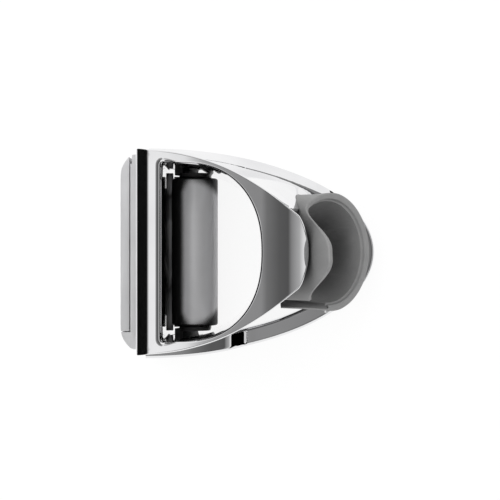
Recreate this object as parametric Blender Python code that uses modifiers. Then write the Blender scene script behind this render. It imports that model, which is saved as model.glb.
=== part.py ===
"""Shower rail slider: a chromed sleeve that runs on a flat D-section rail, with a tilted handset cup.

Metres, +Z up along the rail. -X faces the wall and +X the user. The origin is the bottom centre of the
whole object, which stands on its base. A roller behind the rail holds the slider by wedge action, and a
hinged plate on the wall side lifts the roller's carrier to free it.
"""

import math

import bmesh
import bpy
from mathutils import Matrix, Vector

# Sleeve and its top outline
HEIGHT = 0.046
SLEEVE_DEPTH = 0.0437  # from the back face to the nose tip
SLEEVE_HALF = 0.026
BAR = 0.0065  # wall behind the rail opening
BAR_ROUND = 0.0034
EDGE = 0.0006  # small edge rounding
NOSE_FALL = 0.0045  # how far the nose's top drops at its tip

# Opening for the rail
HOLE_HALF = 0.0224
HOLE_BULGE = 0.0046  # from the bar's inner face to the opening's widest place
HOLE_FRONT = 0.0121  # from the opening's front to the nose tip
HOLE_POWER = 2.3
HOLE_FLARE = 0.0005

# Base hoop and side web
HOOP_SET = 0.0005  # the hoop's back ends stop short of the back face
HOOP_REACH = 0.0624
HOOP_HALF = 0.0289
HOOP_SIDE = 0.0049
HOOP_END = 0.0058
HOOP_HEIGHT = 0.0080
HOOP_FRONT_RISE = 0.0025  # extra height of the front, which carries the cup
SKIRT_LOW = 0.0030  # outer height of the slope below the web
WEB_DROP = 0.0008  # web's top edge below the sleeve's top
WEB_WALL = 0.0015
WEB_BREAK = 0.0028  # from the hoop's outer face to the web's lower edge
WEB_SINK = 0.0010  # how far the web's lower edge is buried in the hoop
WEB_END = 0.0490  # from the back face to where the web runs out

# Handset cup
CUP_TILT = math.radians(45)
CUP_REACH = 0.0501  # from the back face to the middle of the rim
CUP_RISE = 0.0246
CUP_OUTER = 0.0154
CUP_MOUTH = 0.0140
CUP_BORE_END = 0.0118
CUP_DEEP = 0.0330  # tube length below the rim, before it is trimmed
CUP_LEAD = 0.0007  # depth of the rounded edge at the mouth
CUP_LEAD_WIDTH = 0.0005
TONGUE = 0.0134
TONGUE_FLAT = math.radians(4)
TONGUE_SIDE = math.radians(60)
TONGUE_LEAN = math.radians(3)
SLOT_FROM = math.radians(58)
SLOT_TO = math.radians(100)
NOSE_WALL = 0.0053  # between the rail opening and the cup
CUP_FLOOR = 0.0020  # the tube is cut level this far above the base
HOSE_RADIUS = 0.0075

# Clamp roller and its carrier
ROLLER_RADIUS = 0.00625
ROLLER_END = 0.0025  # from the opening's side to the roller's end
ROLLER_BORE = 0.0045
ROLLER_BACK = 0.0010  # from the bar to the roller
ROLLER_RISE = 0.0140
BUSH_LENGTH = 0.0060
BUSH_SINK = 0.0003
AXLE_RADIUS = 0.0015
CHEEK = 0.0011
CHEEK_HALF = 0.0042
LIP = 0.0003  # small step where the carrier's walls meet
BRIDGE_LOW = 0.0026
BRIDGE_TOP = 0.0070
FOOT_BACK = 0.0048  # how far the foot reaches under the bar
FOOT_IN = 0.0024  # foot's end inside the roller's end
FOOT_THICK = 0.0018
FOOT_UNDER = 0.0030  # how far the foot plate reaches over the bridge
RIVET_RADIUS = 0.0009
RIVET_HEAD = 0.0016
RIVET_HEAD_HEIGHT = 0.0005
RIVET_IN = 0.0014  # rivet inside the foot plate's edge over the bridge
FOOT_CLEAR = 0.00036  # between the foot's ramp and the release tongue
RAMP = math.radians(20)
RIB_BACK = 0.0024  # rib's middle behind the roller's axis
RIB_WIDTH = 0.0022
RIB_DEPTH = 0.0016
RIB_LOW = 0.0045
RIB_HIGH = 0.0150
CARRIER_LIFT = 0.0014
RELIEF_TOP = 0.0090
SPRING_IN = 0.0035  # spring axis inside the foot's end
SPRING_RADIUS = 0.0015
SPRING_WIRE = 0.00025
SPRING_TOP = 0.0235
SPRING_TURNS = 7
SPRING_FLAT = 0.8  # share of a turn that lies flat at each end
SPRING_FROM_BAR = 0.0026  # spring axis behind the bar's inner face

# Back cover and release plate
COVER_DEPTH = 0.00575
COVER_HEIGHT = 0.0220
SLAB_END = ((0, 1), (0.42, 0.995), (0.66, 0.955), (0.86, 0.895), (0.97, 0.83), (1, 0.74))
PLATE_THICK = 0.0023
PLATE_SHORT = 0.0049  # plate's free end inside the sleeve's side
PLATE_LOW = 0.0004
HINGE_SHORT = 0.0040  # hinge axis inside the sleeve's side
HINGE_IN = 0.0013  # hinge axis inside the plate's inner face
KNUCKLE = 0.0015
KNUCKLE_HEIGHT = 0.0040
KNUCKLE_PLACES = (0.28, 0.72)  # shares of the cover's height
KNUCKLE_ROOM = 0.0005
NECK_HALF = 0.0012
PIN_RADIUS = 0.0008
PIN_END = 0.0015
PLATE_SWING = math.radians(6)
TONGUE_BAR_Y = -0.0060
TONGUE_BAR_HALF = 0.0030
TONGUE_BAR_LOW = 0.0008
TONGUE_BAR_THICK = 0.0011
TONGUE_SLOPE = 0.40

# Screws
SCREW_RADIUS = 0.0011
SCREW_HEAD = 0.0020
SCREW_HEAD_HEIGHT = 0.0012
SCREW_SOCKET = 0.0009
SCREW_SOCKET_DEPTH = 0.0008
SCREW_LENGTH = 0.0060
SCREW_RISE = 0.0155
SCREW_PAST = 0.0040  # outer cover screws past the springs
INSERT_SCREW_PAST = 0.0054  # beyond the middle of the cup's rim
INSERT_SCREW_TOP = 0.0110

GAP = 0.0003
RUN = 0.0001  # running clearance of the axle and bushes
OVER = 0.0010  # how far a cutter runs past a face
FAR = 0.1  # beyond the whole object

# Places that follow from the sizes above
BACK_X = COVER_DEPTH - (COVER_DEPTH + HOOP_SET + HOOP_REACH) / 2
HOOP_X = BACK_X + HOOP_SET
HOOP_END_X = HOOP_X + HOOP_REACH
COVER_X = BACK_X - COVER_DEPTH
NOSE_X = BACK_X + SLEEVE_DEPTH
BAR_X = BACK_X + BAR
HOLE_X = BAR_X + HOLE_BULGE
HOLE_FRONT_X = NOSE_X - HOLE_FRONT
HOLE_REACH = HOLE_FRONT_X - HOLE_X
CUP_WALL_X = HOLE_FRONT_X + NOSE_WALL
CUP_PLACE = Vector((BACK_X + CUP_REACH, 0, CUP_RISE))
INSERT_SCREW_X = CUP_PLACE.x + INSERT_SCREW_PAST
ROLLER_X = BAR_X + ROLLER_BACK + ROLLER_RADIUS
HOSE_X = CUP_WALL_X + GAP + HOSE_RADIUS
SEAM_X = COVER_X + PLATE_THICK
HINGE_X = SEAM_X + HINGE_IN
HINGE_Y = SLEEVE_HALF - HINGE_SHORT
PLATE_END = SLEEVE_HALF - PLATE_SHORT
SWING_ROOM = 3 * GAP + (BAR_X - HINGE_X) * math.sin(PLATE_SWING)
HEEL_SWING = HINGE_SHORT * math.sin(PLATE_SWING)
SPRING_X = BAR_X - SPRING_FROM_BAR
ROLLER_HALF = HOLE_HALF - ROLLER_END
FOOT_HALF = ROLLER_HALF - FOOT_IN
WING_HALF = HOLE_HALF - 2 * GAP
SPRING_PLACE = FOOT_HALF - SPRING_IN
SCREW_PLACES = (SPRING_PLACE / 2, SPRING_PLACE + SCREW_PAST)
BRIDGE_X = BAR_X + ROLLER_BACK + GAP
FOOT_END_X = BRIDGE_X + FOOT_UNDER
FOOT_TOP = BRIDGE_TOP - LIP
CHEEK_IN = ROLLER_HALF + GAP
CHEEK_OUT = CHEEK_IN + CHEEK

# The hoop's top on its way from the bar to the cup: distance from its back end, and height
HOOP_FALL = (
    (0, 0.0158),
    (0.0125, 0.0151),
    (0.0190, 0.0136),
    (0.0225, 0.0122),
    (0.0250, 0.0101),
    (0.0273, 0.0083),
    (0.0292, HOOP_HEIGHT),
    (0.0450, HOOP_HEIGHT),
)

ALONG_Y = Matrix.Rotation(-math.pi / 2, 4, "X")

# The sleeve's flank, as shares of its depth and half width
FLANK = (
    (0, 1),
    (0.258, 0.952),
    (0.493, 0.836),
    (0.699, 0.652),
    (0.905, 0.402),
    (0.955, 0.318),
    (0.99, 0.15),
    (1, 0),
)


def clear_scene():
    for obj in list(bpy.data.objects):
        bpy.data.objects.remove(obj, do_unlink=True)


def new_collection(name):
    collection = bpy.data.collections.new(name)
    bpy.context.scene.collection.children.link(collection)
    return collection


def new_material(name, colour, roughness, metallic):
    material = bpy.data.materials.new(name)
    material.use_nodes = True
    shader = material.node_tree.nodes["Principled BSDF"]
    shader.inputs["Base Color"].default_value = (*colour, 1)
    shader.inputs["Roughness"].default_value = roughness
    shader.inputs["Metallic"].default_value = metallic
    return material


def finish_mesh(bm, name, collection, material=None):
    """Turns a bmesh into an object, with its faces pointing out."""
    bmesh.ops.recalc_face_normals(bm, faces=bm.faces)
    mesh = bpy.data.meshes.new(name)
    bm.to_mesh(mesh)
    bm.free()
    mesh.shade_smooth()
    mesh.set_sharp_from_angle(angle=math.radians(32))
    obj = bpy.data.objects.new(name, mesh)
    collection.objects.link(obj)
    if material:
        mesh.materials.append(material)
    if collection is CUTTERS:
        obj.hide_render = True
        obj.display_type = "WIRE"
    return obj


def prism(name, outline, low, high, collection, material=None, turn=None):
    """Extrudes a flat outline from low to high along Z, then turns it."""
    bm = bmesh.new()
    face = bm.faces.new([bm.verts.new((x, y, low)) for x, y in outline])
    grown = bmesh.ops.extrude_face_region(bm, geom=[face])["geom"]
    top = [part for part in grown if isinstance(part, bmesh.types.BMVert)]
    bmesh.ops.translate(bm, verts=top, vec=(0, 0, high - low))
    if turn:
        bmesh.ops.transform(bm, matrix=turn, verts=bm.verts)
    return finish_mesh(bm, name, collection, material)


def side_prism(name, outline, low_y, high_y, collection, material=None):
    """Extrudes an outline given in X and Z along Y."""
    flipped = [(x, -z) for x, z in outline]
    return prism(name, flipped, low_y, high_y, collection, material, ALONG_Y)


def box(name, low, high, collection, material=None):
    bm = bmesh.new()
    size = [b - a for a, b in zip(low, high)]
    middle = [(a + b) / 2 for a, b in zip(low, high)]
    place = Matrix.Translation(middle) @ Matrix.Diagonal((*size, 1))
    bmesh.ops.create_cube(bm, size=1, matrix=place)
    return finish_mesh(bm, name, collection, material)


def cylinder(name, radius, start, end, collection, material=None, segments=40):
    start, end = Vector(start), Vector(end)
    turn = (end - start).to_track_quat("Z", "Y").to_matrix().to_4x4()
    bm = bmesh.new()
    bmesh.ops.create_cone(
        bm,
        cap_ends=True,
        segments=segments,
        radius1=radius,
        radius2=radius,
        depth=(end - start).length,
        matrix=Matrix.Translation((start + end) / 2) @ turn,
    )
    return finish_mesh(bm, name, collection, material)


def revolve(profile, segments):
    """A closed solid of revolution about Z, from a profile of (radius, z)."""
    bm = bmesh.new()
    verts = [bm.verts.new((r, 0, z)) for r, z in profile]
    on_axis = profile[0][0] == 0 and profile[-1][0] == 0
    ends = verts[1:] if on_axis else verts[1:] + verts[:1]
    edges = [bm.edges.new(pair) for pair in zip(verts, ends)]
    bmesh.ops.spin(
        bm,
        geom=verts + edges,
        axis=(0, 0, 1),
        cent=(0, 0, 0),
        angle=2 * math.pi,
        steps=segments,
        use_merge=True,
    )
    bmesh.ops.remove_doubles(bm, verts=bm.verts, dist=1e-7)
    return bm


def add_boolean(obj, other, operation):
    modifier = obj.modifiers.new(operation.lower() + " " + other.name, "BOOLEAN")
    modifier.operation = operation
    modifier.object = other
    # The exact solver fails on the tilted cup's long slanting cuts.
    if obj.get("slanting cuts"):
        modifier.solver = "MANIFOLD"


def cut(obj, *others):
    for other in others:
        add_boolean(obj, other, "DIFFERENCE")


def join(obj, *others):
    for other in others:
        add_boolean(obj, other, "UNION")


def round_edges(obj, width, segments=2, angle=50):
    modifier = obj.modifiers.new("rounded edges", "BEVEL")
    modifier.width = width
    modifier.segments = segments
    modifier.limit_method = "ANGLE"
    modifier.angle_limit = math.radians(angle)


def smooth_through(points, steps):
    """A smooth curve through the points, with that many steps between two of them."""
    points = [Vector(point) for point in points]
    ends = [2 * points[0] - points[1]] + points + [2 * points[-1] - points[-2]]
    curve = []
    for a, b, c, d in zip(ends, ends[1:], ends[2:], ends[3:]):
        for step in range(steps):
            t = step / steps
            bend = (2 * a - 5 * b + 4 * c - d) * t * t + (3 * b - a - 3 * c + d) * t**3
            curve.append((2 * b + (c - a) * t + bend) / 2)
    return curve + [points[-1]]


def arc(middle, radius, start, end, steps):
    """Points on a circle, with angles in degrees."""
    angles = [math.radians(start + (end - start) * i / steps) for i in range(steps + 1)]
    return [(middle[0] + radius * math.cos(a), middle[1] + radius * math.sin(a)) for a in angles]


def flank_curve():
    """One side of the sleeve's top outline, from the back corner to the nose tip."""
    rows = [(BACK_X + SLEEVE_DEPTH * a, SLEEVE_HALF * b) for a, b in FLANK]
    mirrored = [*rows, (rows[-2][0], -rows[-2][1])]
    return smooth_through(mirrored, 4)[:-4]


def sleeve_half_at(x):
    """The sleeve's half width at x."""
    curve = flank_curve()
    for near, far in zip(curve, curve[1:]):
        if near[0] <= x <= far[0]:
            share = (x - near[0]) / max(far[0] - near[0], 1e-9)
            return near[1] + (far[1] - near[1]) * share
    return curve[0][1] if x < curve[0][0] else 0.0


def hoop_half_at(x, inset=0.0):
    """The hoop's outer half width at x, or its inner one with an inset."""
    share = (x - HOOP_X) / (HOOP_REACH - inset)
    return (HOOP_HALF - inset) * math.sqrt(max(0.0, 1 - share * share))


def half_ellipse(reach, half, steps=44):
    angles = [-math.pi / 2 + math.pi * i / steps for i in range(steps + 1)]
    return [(HOOP_X + reach * math.cos(a), half * math.sin(a)) for a in angles]


def ease(share):
    """0 to 1 with level ends."""
    share = min(1.0, max(0.0, share))
    return (1 - math.cos(math.pi * share)) / 2


def hoop_top_at(x):
    """Height of the hoop: a shoulder that drops towards the cup, level, then rising at the front."""
    rise = HOOP_FRONT_RISE * ease((x - HOSE_X) / (HOOP_END_X - HOOP_END - HOSE_X))
    curve = [(HOOP_X + along, height) for along, height in smooth_through(HOOP_FALL, 4)]
    for near, far in zip(curve, curve[1:]):
        if near[0] <= x <= far[0]:
            share = (x - near[0]) / (far[0] - near[0])
            return near[1] + (far[1] - near[1]) * share + rise
    return rise + (HOOP_HEIGHT if x > HOOP_X else HOOP_FALL[0][1])


def sleeve_top_at(x):
    """Height of the sleeve's top: level, then falling in an arc over the nose."""
    share = max(0.0, (x - HOLE_FRONT_X) / HOLE_FRONT)
    return HEIGHT - NOSE_FALL * share * share


def build_sleeve(name, material):
    """The upright D-shaped block round the rail, with its rounded back edge and falling nose."""
    flank = flank_curve()
    outline = [(p[0], -p[1]) for p in flank] + [(p[0], p[1]) for p in reversed(flank[:-1])]
    block = prism(name, outline, 0, HEIGHT, PARTS, material)
    back = arc((BACK_X + BAR_ROUND, HEIGHT - BAR_ROUND), BAR_ROUND, 180, 90, 8)
    steps = 12
    nose = [HOLE_FRONT_X + (HOLE_FRONT + OVER) * i / steps for i in range(steps + 1)]
    nose_top = [(x, sleeve_top_at(x)) for x in nose]
    end_x = nose_top[-1][0]
    profile = [(BACK_X, -OVER), *back, *nose_top, (end_x, -OVER)]
    side = side_prism("sleeve side", profile, -HOOP_HALF, HOOP_HALF, CUTTERS)
    add_boolean(block, side, "INTERSECT")
    round_edges(block, EDGE)
    return block


def hoop():
    """The oval foot ring, which follows hoop_top_at."""
    outer = half_ellipse(HOOP_REACH, HOOP_HALF)
    inner = half_ellipse(HOOP_REACH - HOOP_END, HOOP_HALF - HOOP_SIDE)
    tallest = HOOP_FALL[0][1] + OVER
    ring = prism("hoop ring", outer + inner[::-1], 0, tallest, CUTTERS)
    steps = 44
    low_x, high_x = HOOP_X - OVER, HOOP_END_X + OVER
    xs = [low_x + (high_x - low_x) * i / steps for i in range(steps + 1)]
    profile = [(low_x, -OVER), *[(x, hoop_top_at(x)) for x in xs], (high_x, -OVER)]
    side = side_prism("hoop side", profile, -HOOP_HALF - OVER, HOOP_HALF + OVER, CUTTERS)
    add_boolean(ring, side, "INTERSECT")
    round_edges(ring, EDGE * 1.5, segments=3)
    cut(ring, skirt())
    return ring


def loft(name, sections):
    """A closed solid through sections of equally many points."""
    bm = bmesh.new()
    rings = [[bm.verts.new(point) for point in section] for section in sections]
    for near, far in zip(rings, rings[1:]):
        for i in range(len(near)):
            j = (i + 1) % len(near)
            bm.faces.new((near[i], near[j], far[j], far[i]))
    bm.faces.new(rings[0])
    bm.faces.new(rings[-1])
    return finish_mesh(bm, name, CUTTERS)


def skirt():
    """What slants the hoop's outer top on the closed side. It runs out under the cup."""
    stations = 24
    first_x, last_x = HOOP_X - OVER, BACK_X + WEB_END
    high = HOOP_FALL[0][1] + 2 * OVER
    sections = []
    for i in range(stations + 1):
        x = first_x + (last_x - first_x) * i / stations
        fade = ease((x - HOSE_X) / (last_x - HOSE_X))
        top = hoop_top_at(x) + EDGE * fade
        inner = hoop_half_at(max(x, HOOP_X)) - WEB_BREAK
        outer = inner + WEB_BREAK + OVER
        fall = (hoop_top_at(x) - SKIRT_LOW) * (1 - fade) * (1 + OVER / WEB_BREAK)
        sections.append([(x, inner, top), (x, outer, top - fall), (x, outer, high), (x, inner, high)])
    return loft("skirt", sections)


def web():
    """The closed side, lofted from the sleeve's top edge down into the hoop."""
    stations = 16
    first_x = HOOP_X + 2 * EDGE
    last_x = BACK_X + WEB_END
    sections = []
    for i in range(stations + 1):
        x = first_x + (last_x - first_x) * i / stations
        foot = hoop_half_at(x) - WEB_BREAK
        foot_z = hoop_top_at(x) - WEB_SINK
        blend = ease((x - CUP_WALL_X) / (last_x - CUP_WALL_X))
        top = sleeve_top_at(min(x, NOSE_X)) - WEB_DROP
        edge = min(max(sleeve_half_at(x), CUP_OUTER / 2), foot - WEB_WALL)
        edge_y = edge + (foot - WEB_WALL - edge) * blend
        edge_z = top + (foot_z + WEB_SINK / 2 - top) * blend
        sections.append(
            [
                (x, edge_y - WEB_WALL, 0),
                (x, edge_y - WEB_WALL, edge_z - WEB_WALL / 2),
                (x, edge_y, edge_z),
                (x, foot, foot_z),
                (x, foot, 0),
            ]
        )
    return loft("web", sections)


def seat():
    """The solid inside the hoop's front, which the cup's side rests on."""
    inset = HOOP_END / 2
    outer = half_ellipse(HOOP_REACH - inset, HOOP_HALF - inset)
    front = [(x, y) for x, y in outer if x > HOSE_X]
    return prism("seat", front, 0, HOOP_HEIGHT - OVER / 2, CUTTERS)


def rail_opening():
    """The D-shaped opening: a superellipse with a flat back, flared a little at both ends."""
    steps = 44
    outline = []
    for i in range(steps + 1):
        a = -math.pi / 2 + math.pi * i / steps
        c, s = math.cos(a), math.sin(a)
        x = HOLE_X + HOLE_REACH * abs(c) ** (2 / HOLE_POWER)
        y = HOLE_HALF * math.copysign(abs(s) ** (2 / HOLE_POWER), s)
        outline.append((x, y))
    outline = [(BAR_X, -HOLE_HALF), *outline, (BAR_X, HOLE_HALF)]
    wide = 1 + 2 * HOLE_FLARE / HOLE_HALF
    levels = ((-OVER, wide), (HOLE_FLARE, 1), (HEIGHT - HOLE_FLARE, 1), (HEIGHT + OVER, wide))
    sections = [[(HOLE_X + (x - HOLE_X) * grow, y * grow, z) for x, y in outline] for z, grow in levels]
    return loft("rail opening", sections)


def place_in_cup(obj):
    obj.location = CUP_PLACE
    obj.rotation_euler = (0, CUP_TILT, 0)
    return obj


def cup_pocket():
    """What the cup takes out of the body, as far as the wall in front of the rail."""
    reach = CUP_DEEP * 2
    ends = ((0, 0, -reach), (0, 0, reach))
    tube = place_in_cup(cylinder("cup pocket", CUP_OUTER + GAP, *ends, CUTTERS, segments=72))
    keep = box("cup pocket limit", (-FAR, -FAR, -FAR), (CUP_WALL_X, FAR, FAR), CUTTERS)
    cut(tube, keep)
    return tube


def tongue_height(psi):
    """Height of the cup's edge above its rim plane, psi from the side next to the sleeve."""
    away = abs(psi - TONGUE_LEAN)
    share = min(1.0, max(0.0, (away - TONGUE_FLAT) / (TONGUE_SIDE - TONGUE_FLAT)))
    return TONGUE * (1 + math.cos(math.pi * share)) / 2


def tongue_cutter():
    """Everything above the cup's edge, which is level but for the tongue."""
    high = TONGUE * 3
    inner, outer = CUP_BORE_END / 2, CUP_OUTER + 4 * OVER
    bm = revolve([(0, high), (outer, high), (outer, 0), (inner, 0), (0, 0)], 96)
    for vert in bm.verts:
        if vert.co.z < high / 2 and vert.co.xy.length > inner / 2:
            vert.co.z = tongue_height(math.atan2(-vert.co.y, -vert.co.x))
    return place_in_cup(finish_mesh(bm, "above the cup edge", CUTTERS))


def slot_cutter():
    """The side slot that lets the hose into the cup."""
    far = 2 * CUP_OUTER
    steps = 5
    angles = [SLOT_FROM + (SLOT_TO - SLOT_FROM) * i / steps for i in range(steps + 1)]
    wedge = [(0, 0)] + [(-far * math.cos(a), -far * math.sin(a)) for a in angles]
    return place_in_cup(prism("hose slot", wedge, -CUP_DEEP * 2, TONGUE * 2, CUTTERS))


def hose_passage():
    ends = ((HOSE_X, 0, -OVER), (HOSE_X, 0, CUP_RISE - CUP_OUTER))
    return cylinder("hose passage", HOSE_RADIUS, *ends, CUTTERS)


def build_cup_insert(material):
    """The plastic cup: a tapered tube with a tall tongue and a side slot, trimmed to sit in the body."""
    turns = [math.pi / 2 * i / 3 for i in (3, 2, 1, 0)]
    profile = [
        (CUP_BORE_END, -CUP_DEEP),
        (CUP_OUTER, -CUP_DEEP),
        (CUP_OUTER, TONGUE + OVER),
        (CUP_MOUTH, TONGUE + OVER),
        *[(CUP_MOUTH - CUP_LEAD_WIDTH * (1 - math.sin(a)), -CUP_LEAD * math.cos(a)) for a in turns],
    ]
    obj = place_in_cup(finish_mesh(revolve(profile, 72), "cup_insert", PARTS, material))
    obj["slanting cuts"] = True
    wall = CUP_WALL_X + GAP
    nose_side = box("cup wall limit", (-FAR, -FAR, -FAR), (wall, FAR, FAR), CUTTERS)
    under = box("cup floor limit", (-FAR, -FAR, -FAR), (FAR, FAR, CUP_FLOOR), CUTTERS)
    ends = ((INSERT_SCREW_X, 0, 0), (INSERT_SCREW_X, 0, INSERT_SCREW_TOP + GAP))
    screw_hole = cylinder("cup screw hole", SCREW_RADIUS + GAP, *ends, CUTTERS, segments=20)
    cut(obj, tongue_cutter(), slot_cutter(), nose_side, under, hose_passage(), screw_hole)
    return obj


def rib_outline(grow, low, high):
    """A leaning strip in X and Z, which follows the wedge ramp."""
    lean = math.tan(RAMP)
    middle = ROLLER_X - RIB_BACK
    half = RIB_WIDTH / 2 + grow
    centre_z = (RIB_LOW + RIB_HIGH) / 2
    low_x = middle - (low - centre_z) * lean
    high_x = middle - (high - centre_z) * lean
    return [(low_x - half, low), (low_x + half, low), (high_x + half, high), (high_x - half, high)]


def build_body(material):
    """The chromed casting: sleeve, base hoop, closed side web and the seat for the cup."""
    body = build_sleeve("slider_body", material)
    body["slanting cuts"] = True
    join(body, hoop(), web(), seat())
    cut(body, rail_opening(), cup_pocket(), hose_passage())
    room = WING_HALF + 2 * GAP
    relief = box("foot relief", (BACK_X - OVER, -room, -OVER), (BAR_X + OVER, room, RELIEF_TOP), CUTTERS)
    cut(body, relief)
    for side in (-1, 1):
        y = side * SPRING_PLACE
        bore = cylinder(
            "spring bore",
            SPRING_RADIUS + SPRING_WIRE + 2 * GAP,
            (SPRING_X, y, RELIEF_TOP - OVER),
            (SPRING_X, y, SPRING_TOP + GAP),
            CUTTERS,
            segments=24,
        )
        groove_top = RIB_HIGH + CARRIER_LIFT + 2 * GAP
        deep = CHEEK_OUT + RIB_DEPTH + GAP
        ends = sorted((side * CHEEK_IN, side * deep))
        groove = side_prism("rib groove", rib_outline(GAP, -OVER, groove_top), *ends, CUTTERS)
        cut(body, bore, groove)
        for place in SCREW_PLACES:
            hole = cylinder(
                "cover screw hole",
                SCREW_RADIUS + GAP,
                (BACK_X - OVER, side * place, SCREW_RISE),
                (SEAM_X + SCREW_HEAD_HEIGHT + SCREW_LENGTH + GAP, side * place, SCREW_RISE),
                CUTTERS,
                segments=20,
            )
            cut(body, hole)
    low, high = (INSERT_SCREW_X, 0, -OVER), (INSERT_SCREW_X, 0, CUP_RISE)
    head_top = (INSERT_SCREW_X, 0, SCREW_HEAD_HEIGHT + 3 * GAP)
    shank = cylinder("cup screw way", SCREW_RADIUS + GAP, low, high, CUTTERS, segments=20)
    recess = cylinder("cup screw recess", SCREW_HEAD + GAP, low, head_top, CUTTERS, segments=28)
    cut(body, shank, recess)
    return body


def build_roller(material):
    """The clamp roller: a plain tube along Y, behind the rail's flat back."""
    profile = [
        (ROLLER_BORE, -ROLLER_HALF),
        (ROLLER_RADIUS - EDGE, -ROLLER_HALF),
        (ROLLER_RADIUS, -ROLLER_HALF + EDGE),
        (ROLLER_RADIUS, ROLLER_HALF - EDGE),
        (ROLLER_RADIUS - EDGE, ROLLER_HALF),
        (ROLLER_BORE, ROLLER_HALF),
    ]
    obj = finish_mesh(revolve(profile, 48), "clamp_roller", PARTS, material)
    obj.rotation_euler = (-math.pi / 2, 0, 0)
    obj.location = (ROLLER_X, 0, ROLLER_RISE)


def build_bushes(material):
    for name, side in (("roller_bush_left", -1), ("roller_bush_right", 1)):
        out = ROLLER_HALF - BUSH_SINK
        profile = [
            (AXLE_RADIUS + RUN, out - BUSH_LENGTH),
            (ROLLER_BORE - RUN, out - BUSH_LENGTH),
            (ROLLER_BORE - RUN, out),
            (AXLE_RADIUS + RUN, out),
        ]
        obj = finish_mesh(revolve(profile, 48), name, PARTS, material)
        obj.rotation_euler = (-side * math.pi / 2, 0, 0)
        obj.location = (ROLLER_X, 0, ROLLER_RISE)


def build_axle(material):
    reach = CHEEK_OUT - RUN
    ends = ((ROLLER_X, -reach, ROLLER_RISE), (ROLLER_X, reach, ROLLER_RISE))
    cylinder("roller_axle", AXLE_RADIUS, *ends, PARTS, material, segments=48)


def ramp_height(x):
    """Top of the release tongue at x: level under the cover, then rising towards the rail."""
    start = BAR_X - FOOT_BACK - OVER
    return TONGUE_BAR_LOW + TONGUE_BAR_THICK + max(0.0, x - start) * TONGUE_SLOPE


def tongue_tip_x():
    return BAR_X + ROLLER_BACK - GAP


def rivet_ends(side, low, high):
    x, y = FOOT_END_X - RIVET_IN, side * SPRING_PLACE / 2
    return (x, y, low), (x, y, high)


def build_foot(material):
    """The steel plate under the bar. The springs press it down and the tongue's ramp lifts it."""
    foot_x = BAR_X - FOOT_BACK
    low = FOOT_TOP - FOOT_THICK
    high_end = (FOOT_END_X, FOOT_HALF, FOOT_TOP)
    foot = box("carrier_foot", (foot_x, -FOOT_HALF, low), high_end, PARTS, material)
    wings = box("foot wings", (foot_x, -WING_HALF, low), (BRIDGE_X - GAP, WING_HALF, FOOT_TOP), CUTTERS)
    join(foot, wings)
    round_edges(foot, LIP)
    ramp_left, ramp_right = foot_x + LIP, BRIDGE_X - GAP
    ramp = [
        (ramp_left, FOOT_TOP - FOOT_THICK / 2),
        (ramp_left, ramp_height(ramp_left) + FOOT_CLEAR),
        (ramp_right, ramp_height(ramp_right) + FOOT_CLEAR),
        (ramp_right, FOOT_TOP - FOOT_THICK / 2),
    ]
    wide = TONGUE_BAR_HALF + GAP
    join(foot, side_prism("foot ramp", ramp, TONGUE_BAR_Y - wide, TONGUE_BAR_Y + wide, CUTTERS))
    for side in (-1, 1):
        place = (SPRING_X, side * SPRING_PLACE)
        inside = SPRING_RADIUS - SPRING_WIRE - GAP
        ends = ((*place, FOOT_TOP - FOOT_THICK / 2), (*place, FOOT_TOP + 2 * inside))
        join(foot, cylinder("spring peg", inside, *ends, CUTTERS, segments=20))
        ends = rivet_ends(side, 0, BRIDGE_TOP + OVER)
        cut(foot, cylinder("foot rivet hole", RIVET_RADIUS + RUN, *ends, CUTTERS, segments=24))


def build_rivets(material):
    """Two rivets that hold the foot plate to the bridge."""
    for name, side in (("foot_rivet_left", -1), ("foot_rivet_right", 1)):
        profile = [
            (0, BRIDGE_LOW + LIP + RUN),
            (RIVET_RADIUS, BRIDGE_LOW + LIP + RUN),
            (RIVET_RADIUS, FOOT_TOP + RUN),
            (RIVET_HEAD, FOOT_TOP + RUN),
            (RIVET_HEAD - RIVET_HEAD_HEIGHT / 2, FOOT_TOP + RIVET_HEAD_HEIGHT),
            (0, FOOT_TOP + RIVET_HEAD_HEIGHT),
        ]
        rivet = finish_mesh(revolve(profile, 24), name, PARTS, material)
        rivet.location = rivet_ends(side, 0, 0)[0]


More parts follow.
